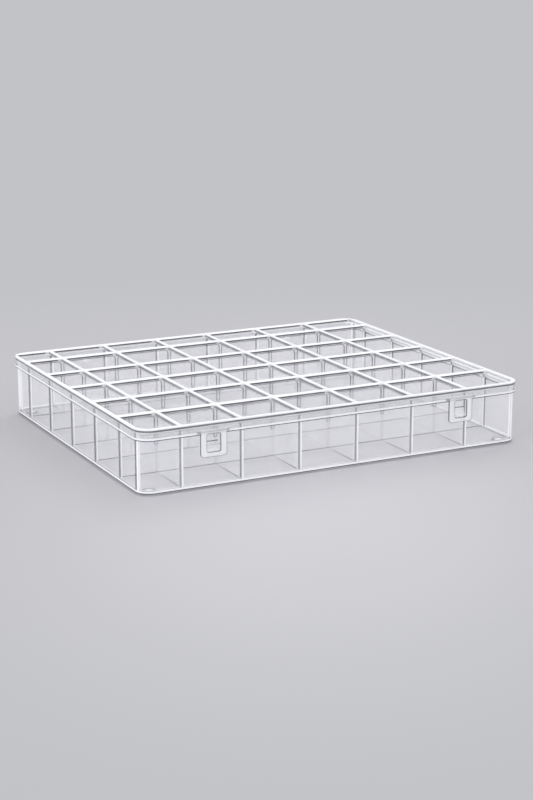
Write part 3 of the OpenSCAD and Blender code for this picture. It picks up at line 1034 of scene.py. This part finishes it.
@dataclass
class SmallParts:
    """The pins and the feet."""

    steel: Material
    gel: Material
    latch_pin_l: float = 26.6 * MM
    chamfer: float = 0.2 * MM
    foot_r: float = 5.5 * MM
    # width of the painted dark ring
    foot_ring: float = 1.9 * MM
    foot_step: float = 0.03 * MM
    foot_edge: float = 0.6 * MM
    foot_sides: int = 40

    def pins(self, node: str, length: float, body: str) -> None:
        """Build the two pins of a node, one at each end of its box."""
        low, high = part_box(node)
        y, z, radius = (low.y + high.y) / 2, (low.z + high.z) / 2, (high.z - low.z) / 2
        ends = (low.x + length / 2, high.x - length / 2)
        rods = [rod((x, y, z), radius, length, self.chamfer, BRIGHT) for x in ends]
        link(node + "_wire", rods, self.steel, node, body)

    def feet(self) -> None:
        """Build the four feet: each a disc with rounded edges and a painted dark ring, shade at its edge,
        around its milky core.
        """
        low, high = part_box("feet")
        r = self.foot_r
        layers = ((r, self.foot_step, LINE), (r - self.foot_ring, 0.0, BRIGHT))
        discs = [
            slab(arc((x, y), radius, 0, 360, self.foot_sides)[:-1], low.z + step, high.z - step,
                 self.foot_edge, Along.Z, tone, tone)
            for x in (low.x + r, high.x - r) for y in (low.y + r, high.y - r) for radius, step, tone in layers
        ]
        link("feet_discs", discs, self.gel, "feet", "base")

    def build(self) -> None:
        """Build the pins and the feet."""
        self.pins("hinge_pins", HINGE.pin_l, "base")
        self.pins("latch_pins", self.latch_pin_l, "lid")
        self.feet()


@dataclass
class Studio:
    """Floor, light and camera. Each lamp is its place, its width and its power."""

    camera_at: tuple = (-0.6684, -1.33, 0.4086)
    camera_pitch: float = 14.518
    camera_yaw: float = -26.948
    focal_px: float = 1808.9
    sensor_mm: float = 36.0
    view_m: float = 100.0
    key: tuple = ((0.8, 0.9, 1.5), 1.3, 9.0)
    fill: tuple = ((-1.5, -0.4, 1.0), 1.3, 7.0)
    sky: str = "#f6f7fa"
    clear_layers: int = 96
    backdrop: str = "#c2c3c7"
    # painted pool of light on the floor: the paler colour inside the spot, the darker paper outside it
    spot: str = "#c7c6c9"
    paper: str = "#b7b6b9"
    spot_at: tuple = (-0.108, -0.327, 0.0)
    spot_size: tuple = (0.25, 0.75, 1.0)
    spot_fade: tuple = (0.1, 1.2)
    floor_fade: tuple = (0.2, 0.8)
    floor_r: float = 30.0
    floor_sides: int = 96
    grain_mm: float = 1000 / 900
    grain_bump: float = 0.05
    grain_depth: float = 0.1 * MM
    roughness: float = 0.9
    gloss: float = 0.1

    @staticmethod
    def smooth(tree: NodeTree, limits: tuple, value: NodeSocket) -> NodeSocket:
        """Return a smooth step from 0 to 1, as the value goes from one limit to the other."""
        node = add(tree, "ShaderNodeMapRange", {
            "From Min": limits[0], "From Max": limits[1], "interpolation_type": "SMOOTHSTEP",
        }, {"Value": value})
        return node.outputs["Result"]

    def paper_sweep(self) -> Material:
        """Make the floor's paper with a painted pool of light: paler in a spot before the object, darker
        around it, and fading into the backdrop far away.
        """
        material, out = blank("matte_paper_sweep")
        tree = material.node_tree
        point = add(tree, "ShaderNodeTexCoord").outputs["Object"]
        reach = add(tree, "ShaderNodeVectorMath", {"operation": "LENGTH"}, {0: point})
        turned = add(tree, "ShaderNodeMapping", {
            "vector_type": "TEXTURE", "Location": self.spot_at, "Scale": self.spot_size,
            "Rotation": (0.0, 0.0, math.radians(self.camera_yaw)),
        }, {"Vector": point})
        away = add(tree, "ShaderNodeVectorMath", {"operation": "LENGTH"}, {0: turned.outputs["Vector"]})
        # painted pool of light: the floor's colour goes from the spot's to the darker paper's away from it
        shade = add(tree, "ShaderNodeMixRGB", {"Color1": rgba(self.spot), "Color2": rgba(self.paper)},
                    {"Fac": self.smooth(tree, self.spot_fade, away.outputs["Value"])})
        bump = add(tree, "ShaderNodeBump", {"Strength": self.grain_bump, "Distance": self.grain_depth},
                   {"Height": noise(tree, self.grain_mm, point)})
        paper = add(tree, "ShaderNodeBsdfPrincipled", {
            "Roughness": self.roughness, "Specular IOR Level": self.gloss,
        }, {"Base Color": shade.outputs["Color"], "Normal": bump.outputs["Normal"]})
        far = add(tree, "ShaderNodeEmission", {"Color": rgba(self.backdrop), "Strength": 1.0})
        mix = add(tree, "ShaderNodeMixShader", links={
            0: self.smooth(tree, self.floor_fade, reach.outputs["Value"]),
            1: paper.outputs["BSDF"], 2: far.outputs["Emission"],
        })
        tree.links.new(mix.outputs["Shader"], out.inputs["Surface"])
        return material

    def ground(self) -> None:
        """Lay the round paper floor."""
        angle = np.linspace(0.0, 2 * math.pi, self.floor_sides, endpoint=False)
        edge = np.stack([np.cos(angle), np.sin(angle), np.zeros_like(angle)], axis=1) * self.floor_r
        mesh = bpy.data.meshes.new("floor")
        mesh.from_pydata(edge.tolist(), [], [list(range(len(edge)))])
        mesh.materials.append(self.paper_sweep())
        floor = bpy.data.objects.new("floor", mesh)
        bpy.context.scene.collection.objects.link(floor)

    def world(self) -> None:
        """Set the sky: the backdrop's colour where it is seen or mirrored, a soft white light elsewhere."""
        world = bpy.data.worlds.new("studio")
        bpy.context.scene.world = world
        world.use_nodes = True
        tree = world.node_tree
        tree.nodes.clear()
        rays = add(tree, "ShaderNodeLightPath")
        seen = rays.outputs["Is Camera Ray"]
        for kind in ("Is Glossy Ray", "Is Transmission Ray"):
            either = add(tree, "ShaderNodeMath", {"operation": "MAXIMUM"}, {0: seen, 1: rays.outputs[kind]})
            seen = either.outputs["Value"]
        light = add(tree, "ShaderNodeBackground", {"Color": rgba(self.sky), "Strength": 1.0})
        shown = add(tree, "ShaderNodeBackground", {"Color": rgba(self.backdrop), "Strength": 1.0})
        mix = add(tree, "ShaderNodeMixShader", links={0: seen, 1: light.outputs[0], 2: shown.outputs[0]})
        out = add(tree, "ShaderNodeOutputWorld")
        tree.links.new(mix.outputs["Shader"], out.inputs["Surface"])

    def lamp(self, name: str, at: tuple, size: float, power: float) -> None:
        """Hang a square area lamp that points at the object."""
        light = bpy.data.lights.new(name, "AREA")
        light.size = size
        light.energy = power
        lamp = bpy.data.objects.new(name, light)
        lamp.location = at
        bpy.context.scene.collection.objects.link(lamp)
        across, level = math.atan2(at[0], -at[1]), math.hypot(at[0], at[1])
        lamp.rotation_euler = (math.atan2(level, at[2]), 0.0, across)

    def camera(self) -> None:
        """Set the camera at the photo's angle, its lens worked out for an image PHOTO_HEIGHT pixels high."""
        data = bpy.data.cameras.new("camera")
        data.sensor_fit = "VERTICAL"
        data.sensor_height = self.sensor_mm
        data.lens = self.focal_px * self.sensor_mm / PHOTO_HEIGHT
        data.clip_end = self.view_m
        camera = bpy.data.objects.new("camera", data)
        camera.location = self.camera_at
        camera.rotation_euler = (math.radians(90 - self.camera_pitch), 0.0, math.radians(self.camera_yaw))
        bpy.context.scene.collection.objects.link(camera)
        bpy.context.scene.camera = camera

    def build(self) -> None:
        """Set up everything around the object."""
        self.ground()
        self.world()
        self.lamp("key", *self.key)
        self.lamp("fill", *self.fill)
        self.camera()
        scene = bpy.context.scene
        scene.view_settings.view_transform = "Standard"
        scene.cycles.transparent_max_bounces = self.clear_layers


def main() -> None:
    """Load the frame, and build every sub-assembly in order."""
    logging.basicConfig(level=logging.INFO, format="%(message)s")
    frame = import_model()
    Studio().build()
    grid = Grid().read(frame["nodes"])
    lid = LidFrame(grid, ClearStyrene("clear_polystyrene_lid_frame", face_alpha=0.1, painted_glow=0.1).make())
    lid.build()
    Tray(grid, ClearStyrene("clear_polystyrene_tray", face_alpha=0.13, painted_glow=0.2).make()).build()
    Dividers(grid, ClearStyrene("clear_polystyrene_divider", face_alpha=0.1).make()).build(frame["nodes"])
    Flaps(lid, ClearStyrene("clear_polystyrene_flap", face_alpha=0.03).make()).build()
    Latches(ClearStyrene("clear_polystyrene_latch", face_alpha=0.15, bright_alpha=0.65).make()).build()
    SmallParts(DrawnSteel().make(), FootGel().make()).build()


if __name__ == "__main__":
    main()
